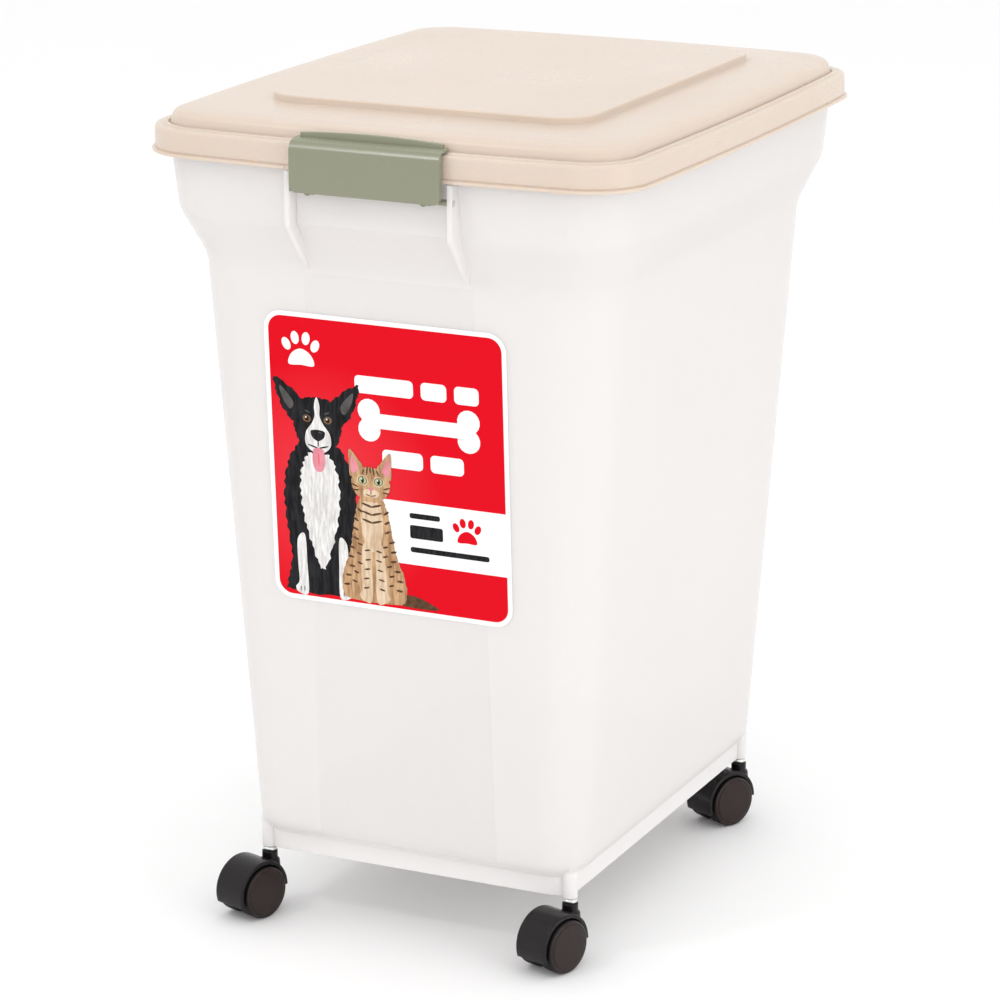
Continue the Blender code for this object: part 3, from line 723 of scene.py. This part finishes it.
def caster(corner, joints, nylon, wheel_looks, zinc):
    """One caster: stem, housing, axle and two wheels, placed by its swivel and its wheels' axis."""
    stem_at = joints[f"swivel_{corner}"]["pos_m"]
    axis = joints[f"spin_{corner}_left"]["axis"]
    swivel = Matrix.Rotation(math.atan2(axis[1], axis[0]), 4, "Z")
    turn = Matrix.Translation((stem_at[0], stem_at[1], 0.0)) @ swivel
    hub = turn @ Matrix.Translation((0.0, -TRAIL * MM, AXLE_Z * MM))
    stem = paint(turned(f"caster_stem_{corner}", stem_profile()), zinc)
    housing = paint(made_of(f"caster_housing_{corner}", hood, web_and_neck), nylon)
    axle = paint(turned(f"caster_axle_{corner}", pin_profile(2.0, WHEEL_OUT - 2.3), 32), zinc)
    pieces = [
        (stem, turn, "bin", f"stem_{corner}", "zinc"),
        (housing, turn, f"caster_{corner}", f"housing_{corner}", "caster_housing"),
        (axle, hub @ ALONG_X, f"caster_{corner}", f"axle_{corner}", "zinc"),
    ]
    for side, word in ((-1, "left"), (1, "right")):
        node = f"wheel_{corner}_{word}"
        pieces.append((wheel(f"caster_{node}", wheel_looks),
                       hub @ Matrix.Rotation(side * math.pi / 2, 4, "Y"), node, node, "caster_wheel"))
    for piece, matrix, body, node, slot in pieces:
        piece.data.transform(matrix)
        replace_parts(piece, node)
        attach(piece, body)


def hinge_pin(side, zinc):
    low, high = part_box(f"hinge_pin_{side}")
    half = (high.x - low.x) / 2 / MM
    middle = (low + high) / 2
    rod = turned(f"hinge_rod_{side}", pin_profile(1.7, half), 32)
    rod.data.transform(Matrix.Translation(middle) @ ALONG_X)
    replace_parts(rod, f"hinge_pin_{side}")
    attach(paint(rod, zinc), "bin")


# --- label ----------------------------------------------------------------------------------------
LABEL_HALF_X, LABEL_HALF_Z, LABEL_RADIUS, LABEL_BORDER = 95.0, 108.5, 14.0, 3.5
# Heights out from the middle of the CAD label's thickness.
SHEET_BACK, SHEET_FACE, FIELD_FACE = -0.2, 0.05, 0.08
OVAL_STEPS, BLOB_STEPS, TUFT_STEPS = 20, 5, 7
# From one printed shape's level to the next, and how far a shape reaches out of and behind its level.
SHAPE_STEP, SHAPE_RISE, SHAPE_SUNK = 0.0035, 0.002, 0.015


def label_place():
    """The matrix from the label's own frame (x right, y up, z out of the wall) to the bin's."""
    low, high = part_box("label")
    lean = math.atan2(WALL_TOP_DEPTH - WALL_FOOT_DEPTH, WALL_TOP_Z - WALL_FOOT_Z)
    return Matrix.Translation((low + high) / 2) @ Matrix.Rotation(math.pi / 2 + lean, 4, "X")


def rounded_box(x0, y0, x1, y1, radius):
    """A rectangle between two corners, with round corners."""
    points = []
    for x, y, first in ((x1, y1, 0.0), (x0, y1, 90.0), (x0, y0, 180.0), (x1, y0, 270.0)):
        centre = (x - math.copysign(radius, x - (x0 + x1) / 2),
                  y - math.copysign(radius, y - (y0 + y1) / 2))
        points += arc(centre, radius, first, first + 90.0)
    return points


def oval(x, y, wide, tall, tilt=0.0):
    """An ellipse with these half sizes, tilted by an angle in degrees."""
    c, s = math.cos(math.radians(tilt)), math.sin(math.radians(tilt))
    angles = [2 * math.pi * i / OVAL_STEPS for i in range(OVAL_STEPS)]
    ring = [(wide * math.cos(angle), tall * math.sin(angle)) for angle in angles]
    return [(x + a * c - b * s, y + a * s + b * c) for a, b in ring]


def blob(points, steps=BLOB_STEPS):
    """A smooth closed line through the points."""
    smooth = []
    count = len(points)
    for i in range(count):
        a, b, c, d = (points[(i + k) % count] for k in (-1, 0, 1, 2))
        for step in range(steps):
            t = step / steps
            smooth.append(tuple(
                0.5 * (2 * q + (r - p) * t + (2 * p - 5 * q + 4 * r - s) * t * t
                       + (3 * q - p - 3 * r + s) * t ** 3)
                for p, q, r, s in zip(a, b, c, d)))
    return smooth


def both_sides(points, middle):
    """Points down one side of a figure that is alike on both sides, and back up the other."""
    return list(points) + [(2 * middle - x, y) for x, y in reversed(points)]


def add_sheet(bm, polygon, low, high, material_index):
    """Adds a flat sheet with this outline between two heights."""
    bottom = [bm.verts.new((x, y, low)) for x, y in polygon]
    top = [bm.verts.new((x, y, high)) for x, y in polygon]
    faces = []
    for a, b, c in tessellate_polygon([[Vector((x, y, 0.0)) for x, y in polygon]]):
        faces.append(bm.faces.new((top[a], top[b], top[c])))
        faces.append(bm.faces.new((bottom[c], bottom[b], bottom[a])))
    for i in range(len(polygon)):
        j = (i + 1) % len(polygon)
        faces.append(bm.faces.new((bottom[i], bottom[j], top[j], top[i])))
    for face in faces:
        face.material_index = material_index


def shaggy(points, depth):
    """A smooth closed line whose points stand out by uneven amounts, like tufts of fur."""
    smooth = blob(points, TUFT_STEPS)
    count = len(smooth)
    tufts = []
    for i, (x, y) in enumerate(smooth):
        before, after = smooth[i - 1], smooth[(i + 1) % count]
        along = (after[0] - before[0], after[1] - before[1])
        length = math.hypot(*along) or 1.0
        out = depth * abs(math.sin(1.9 * i) * math.sin(0.63 * i + 1.0))
        tufts.append((x + out * along[1] / length, y - out * along[0] / length))
    return tufts


def mirrored(points, middle, side):
    """Offsets from the middle line as points on one side of it, kept clockwise on both."""
    placed = [(middle + side * x, y) for x, y in points]
    return placed if side > 0 else placed[::-1]


def centred(points, middle):
    """A figure alike on both sides of the middle line, from offsets down its right side."""
    return both_sides([(middle + x, y) for x, y in points], middle)


def dog():
    """A sitting black and white dog, as (ink, outline) from back to front."""
    m = -55.0  # its middle
    coat = ((3, 16), (16, 12), (26, -4), (30, -26), (29, -50), (26, -76), (30, -95), (26, -102.6))
    bib = ((3, 9), (11, 2), (16, -12), (16.5, -30), (14, -48), (9, -66), (3, -82))
    leg = ((14, -58), (20, -62), (20.5, -80), (20, -94), (23, -99), (21, -103), (13, -103), (13, -80))
    ear = ((9, 40), (19, 52), (34, 60), (33, 48), (27, 34), (17, 26))
    inner_ear = ((19, 42), (29, 53), (28, 45), (22, 36))
    skull = ((3, 47), (12, 45), (18.5, 37), (20, 27), (17, 15), (11, 7), (3, 3))
    blaze = ((0.8, 46), (2.2, 40), (2.0, 33), (4.6, 27), (9.6, 20), (10, 11), (4, 5.6))
    shapes = [("black", shaggy(centred(coat, m), 2.2)), ("fur_white", shaggy(centred(bib, m), 2.4))]
    for side in (-1, 1):
        shapes += [
            ("fur_white", blob(mirrored(leg, m, side))),
            ("grey", oval(m + side * 16.0, -100.0, 0.4, 2.2)),
            ("grey", oval(m + side * 19.0, -100.0, 0.4, 2.0)),
            ("black", shaggy(mirrored(ear, m, side), 1.8)), ("grey", blob(mirrored(inner_ear, m, side))),
        ]
    shapes += [("black", shaggy(centred(skull, m), 1.2)), ("fur_white", blob(centred(blaze, m)))]
    for side in (-1, 1):
        eye = m + side * 8.4
        shapes += [
            ("grey", oval(eye, 30.4, 3.5, 2.9, side * 14)), ("amber", oval(eye, 30.2, 2.7, 2.4)),
            ("black", oval(eye, 30.2, 1.6, 1.8)), ("white", oval(eye - 0.7, 31.2, 0.6, 0.6)),
            ("grey", oval(eye - side * 0.6, 35.6, 2.3, 0.6, side * 20)),
            ("black", oval(m + side * 4.2, 9.8, 4.4, 0.6, side * 16)),
        ]
    tongue = ((1, 9), (4.2, 7), (5.0, -2), (2.4, -8.4))
    nose = ((1, 22.5), (5.6, 21.4), (4.8, 17), (1, 14.2))
    return shapes + [
        ("pink", blob(centred(tongue, m))), ("red", oval(m, 0.5, 0.35, 5.0)),
        ("black", blob(centred(nose, m))),
        ("grey", oval(m + 1.8, 20.6, 1.5, 0.6, -14)), ("black", oval(m, 12.4, 0.5, 2.6)),
    ]


def cat_head(m):
    """The tabby's head, as (ink, outline) from back to front."""
    skull = ((1, -0.5), (8, -2), (14.4, -8), (15.6, -15), (12, -22), (5, -26.6), (1, -27))
    ear = ((5.6, -2.4), (9.6, 4.6), (16.2, 11.4), (16.8, 1.0), (15.6, -9))
    inner_ear = ((9.4, -2.8), (14.8, 7.0), (15.2, -6.0))
    shapes = []
    for side in (-1, 1):
        shapes += [("tan", blob(mirrored(ear, m, side))), ("pink", blob(mirrored(inner_ear, m, side)))]
    shapes.append(("tan", shaggy(centred(skull, m), 0.7)))
    for side in (-1, 1):
        eye = m + side * 6.4
        shapes += [
            ("cream", oval(eye, -11.0, 4.4, 3.9, side * 10)),
            ("brown", oval(eye, -11.0, 3.7, 3.1, side * 10)),
            ("green", oval(eye, -11.0, 3.1, 2.6, side * 10)), ("black", oval(eye, -11.0, 1.2, 2.2)),
            ("white", oval(eye - 0.7, -10.0, 0.55, 0.55)), ("cream", oval(m + side * 3.0, -20.2, 3.5, 2.9)),
            ("brown", oval(m + side * 2.6, -3.6, 0.7, 3.2, side * 8)),
            ("brown", oval(m + side * 5.8, -4.4, 0.6, 2.2, side * 24)),
            ("brown", oval(m + side * 12.6, -15.4, 2.9, 0.6, side * 20)),
            ("brown", oval(m + side * 12.0, -18.8, 2.9, 0.6, -side * 6)),
        ]
    nose = ((0.8, -16.0), (2.3, -16.2), (0.8, -18.4))
    return shapes + [
        ("brown", oval(m, -2.8, 0.6, 2.2)), ("pink", blob(centred(nose, m))),
        ("brown", oval(m, -20.0, 0.35, 1.8)),
        ("brown", oval(m - 2.2, -21.8, 2.2, 0.4, -14)), ("brown", oval(m + 2.2, -21.8, 2.2, 0.4, 14)),
    ]


def cat():
    """A sitting tabby cat, as (ink, outline) from back to front."""
    m = -14.0
    coat = ((1, -22), (9, -24), (13, -34), (16, -50), (19, -66), (25, -82), (26, -96), (19, -102.8))
    bib = ((1, -26), (7, -28), (9, -40), (8, -54), (3, -64))
    leg = ((1.6, -58), (8, -60), (10, -78), (10.4, -94), (12.4, -99), (8.6, -102.8),
           (2.2, -102.4), (1.4, -80))
    tail = ((m + 18, -95), (m + 32, -94), (m + 44, -98), (m + 51, -102), (m + 40, -103), (m + 20, -102))
    shapes = [("brown", blob(tail)), ("tan", shaggy(centred(coat, m), 0.9)),
              ("cream", shaggy(centred(bib, m), 1.0))]
    for side in (-1, 1):
        shapes.append(("cream", blob(mirrored(leg, m, side))))
        for row in range(9):  # the coat's spots, in uneven columns
            down = -34.0 - 7.2 * row
            reach = 10.5 + 1.35 * row + 1.2 * math.sin(2.0 * row + side)
            shapes.append(("brown", oval(m + side * reach, down, 2.5, 0.9, side * (34 - 5 * row))))
            if row > 3:
                near = 5.4 + math.sin(row)
                shapes.append(("brown", oval(m + side * (reach - 6.4), down + 3.0, 2.2, 0.8, side * 16)))
                shapes.append(("brown", oval(m + side * near, down - 1.0, 2.4, 0.7, -side * 12)))
    for row in range(3):  # bands round the neck and chest
        shapes.append(("brown", oval(m - 3.6, -29.5 - 6 * row, 4.6, 0.8, -16)))
        shapes.append(("brown", oval(m + 3.6, -29.5 - 6 * row, 4.6, 0.8, 16)))
    return shapes + cat_head(m)


def bone(x, y, half, knob):
    """A bone lying along x, with two knobs at each end."""
    right = arc((x + half, y + knob * 0.8), knob, -50.0, 190.0, 12)
    lower = arc((x + half, y - knob * 0.8), knob, -190.0, 50.0, 12)
    ends = lower + right
    return ends + [(2 * x - a, 2 * y - b) for a, b in ends]


def paw(x, y, size):
    """A paw print: a pad and four toes."""
    corners = ((0.0, -0.1), (0.34, -0.28), (0.44, -0.62), (0.0, -0.62), (-0.44, -0.62), (-0.34, -0.28))
    pad = blob([(x + across * size, y + up * size) for across, up in corners])
    toes = [oval(x + side * across * size, y + up * size, 0.14 * size, 0.21 * size, -side * tilt)
            for side in (-1, 1) for across, up, tilt in ((0.19, 0.24, 8.0), (0.50, 0.02, 26.0))]
    return [pad, *toes]


def print_rows():
    """Plain bars and icons where the maker's words would be."""
    shapes = [("white", part) for part in paw(-66.0, 84.0, 23.0)]
    for x0, x1 in ((-24.0, 22.0), (28.0, 48.0), (54.0, 73.0)):
        shapes.append(("white", rounded_box(x0, 54.0, x1, 67.0, 3.5)))
    shapes.append(("white", bone(25.5, 34.5, 39.0, 8.8)))
    for x0, x1 in ((-4.0, 28.0), (34.0, 60.0)):
        shapes.append(("white", rounded_box(x0, 1.0, x1, 14.0, 3.5)))
    shapes.append(("white", rounded_box(-6.0, -70.0, LABEL_HALF_X - LABEL_BORDER + 0.5, -23.0, 0.6)))
    for x1, y0, y1 in ((40.0, -35.0, -31.0), (42.0, -50.0, -40.0), (78.0, -60.5, -56.5)):
        shapes.append(("black", rounded_box(16.0, y0, x1, y1, 1.6)))
    shapes += [("red", part) for part in paw(61.0, -38.0, 17.0)]
    return shapes


def on_wall(name, bm, materials):
    made = new_object(name, bm)
    made.data.transform(label_place())
    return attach(paint(made, *materials), "bin")


def label(inks):
    """The white sheet, the red field printed on it and the pictures and bars over that."""
    sheet, printed = bmesh.new(), bmesh.new()
    half_x, half_z, colours = LABEL_HALF_X, LABEL_HALF_Z, list(inks)
    add_sheet(sheet, rounded_box(-half_x, -half_z, half_x, half_z, LABEL_RADIUS), SHEET_BACK, SHEET_FACE, 0)
    half_x, half_z = half_x - LABEL_BORDER, half_z - LABEL_BORDER
    field = rounded_box(-half_x, -half_z, half_x, half_z, LABEL_RADIUS - LABEL_BORDER)
    add_sheet(printed, field, SHEET_FACE - 0.02, FIELD_FACE, colours.index("red"))
    for i, (colour, shape) in enumerate(print_rows() + dog() + cat()):
        level = FIELD_FACE + i * SHAPE_STEP
        add_sheet(printed, shape, level - SHAPE_SUNK, level + SHAPE_RISE, colours.index(colour))
    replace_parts(on_wall("label_sheet", sheet, [inks["white"]]), "label")
    on_wall("label_print", printed, inks.values())


def label_inks():
    hair = (1.0, 1.0, 0.15)  # mottling drawn out down the coat
    behind_pets = label_place() @ Vector((-52.0 * MM, -20.0 * MM, 0.0))
    return {
        "white": ink("ink_white", (0.90, 0.89, 0.89), (0.88, 0.87, 0.87)),
        "red": red_ink(behind_pets),
        "black": ink("ink_black", (0.006, 0.006, 0.007), (0.022, 0.022, 0.025), 420.0, hair),
        "fur_white": ink("ink_fur_white", (0.84, 0.83, 0.81), (0.60, 0.58, 0.57), 520.0, hair),
        "grey": ink("ink_grey", (0.11, 0.10, 0.10), (0.06, 0.055, 0.055)),
        "pink": ink("ink_pink", (0.74, 0.28, 0.33), (0.62, 0.20, 0.25)),
        "amber": ink("ink_amber", (0.28, 0.12, 0.035), (0.20, 0.08, 0.02)),
        "tan": ink("ink_tan", (0.60, 0.38, 0.21), (0.33, 0.18, 0.09), 420.0, hair),
        "cream": ink("ink_cream", (0.76, 0.60, 0.43), (0.56, 0.40, 0.26), 420.0, hair),
        "brown": ink("ink_brown", (0.07, 0.035, 0.018), (0.14, 0.07, 0.035), 330.0),
        "green": ink("ink_green", (0.50, 0.55, 0.28), (0.38, 0.45, 0.22)),
    }


# --- studio ---------------------------------------------------------------------------------------
def area_light(name, place, target, size, power):
    light = bpy.data.lights.new(name, "AREA")
    light.shape, light.size, light.energy = "SQUARE", size, power
    made = bpy.data.objects.new(name, light)
    made.location = place
    made.rotation_euler = (Vector(target) - Vector(place)).to_track_quat("-Z", "Y").to_euler()
    made.visible_camera = False
    bpy.context.scene.collection.objects.link(made)


def studio():
    scene = bpy.context.scene
    scene.view_settings.view_transform = "Standard"
    world = bpy.data.worlds.new("studio")
    scene.world = world
    world.use_nodes = True
    background = world.node_tree.nodes["Background"].inputs
    background["Color"].default_value = (1.0, 1.0, 1.0, 1.0)
    background["Strength"].default_value = WORLD_LIGHT
    half = FLOOR_SIDE / 2 / MM
    floor = prism("floor", ((-half, -half), (half, -half), (half, half), (-half, half)), "z",
                  -FLOOR_THICK / MM, 0.0)
    look = Look("floor_paper")
    tone = look.spread(look.noise(3.0, 3.0), 0.0, 1.0)
    paper = look.finish(look.plastic(look.blend(tone, (0.94, 0.94, 0.94), (0.925, 0.925, 0.925)), 0.8))
    paint(floor, paper)
    middle = (0.0, 0.0, 0.30)
    area_light("key_light", (-1.3, -2.0, 2.85), middle, 0.45, 10.0)
    area_light("front_light", (1.0, -3.2, 1.2), middle, 2.2, 9.0)
    area_light("top_light", (0.3, 0.2, 2.8), middle, 2.2, 6.0)
    area_light("right_light", (2.6, -0.6, 0.6), middle, 1.8, 13.0)


def camera():
    data = bpy.data.cameras.new("camera")
    data.lens, data.sensor_width = CAMERA_LENS, SENSOR
    data.clip_start, data.clip_end = 0.05, 100.0
    made = bpy.data.objects.new("camera", data)
    made.location = CAMERA_PLACE
    made.rotation_euler = (math.radians(90.0 + CAMERA_PITCH), 0.0, math.radians(CAMERA_YAW))
    bpy.context.scene.collection.objects.link(made)
    bpy.context.scene.camera = made


# --- the bin --------------------------------------------------------------------------------------
def build(frame):
    """Makes the materials and every piece of the bin."""
    joints = {joint["name"]: joint for joint in frame["joints"]}
    almond = moulded("almond_polypropylene", (0.668, 0.563, 0.474), (0.648, 0.543, 0.454), 0.30, 0.01,
                     Subsurface_Weight=0.25, Subsurface_Radius=(1.0, 0.55, 0.30), Subsurface_Scale=0.006)
    sage = moulded("sage_polypropylene", (0.250, 0.257, 0.180), (0.238, 0.246, 0.170), 0.24, 0.01,
                   Subsurface_Weight=0.1, Subsurface_Radius=(1.0, 1.0, 0.5), Subsurface_Scale=0.003)
    nylon = moulded("charcoal_nylon", (0.010, 0.007, 0.008), (0.006, 0.004, 0.005), 0.24, 0.006,
                    Specular_IOR_Level=0.27)
    tread = moulded("charcoal_wheel", (0.024, 0.014, 0.013), (0.019, 0.010, 0.009), 0.18, 0.005,
                    Specular_IOR_Level=0.25)
    # Painted shade: the tread's near-black stands for the shadowed gap between the hood and the wheels.
    tread_shade = moulded("tread_painted_shade", (0.004, 0.004, 0.004), (0.003, 0.003, 0.003), 0.5, 0.03,
                   Specular_IOR_Level=0.15)
    zinc = zinc_plate()
    tub()
    lid(almond)
    gasket()
    latch(sage)
    for side in ("left", "right"):
        hinge_pin(side, zinc)
    for corner in CORNERS:
        caster(corner, joints, nylon, (tread, tread_shade), zinc)
    label(label_inks())


def main():
    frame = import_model()
    camera()
    build(frame)
    studio()


main()
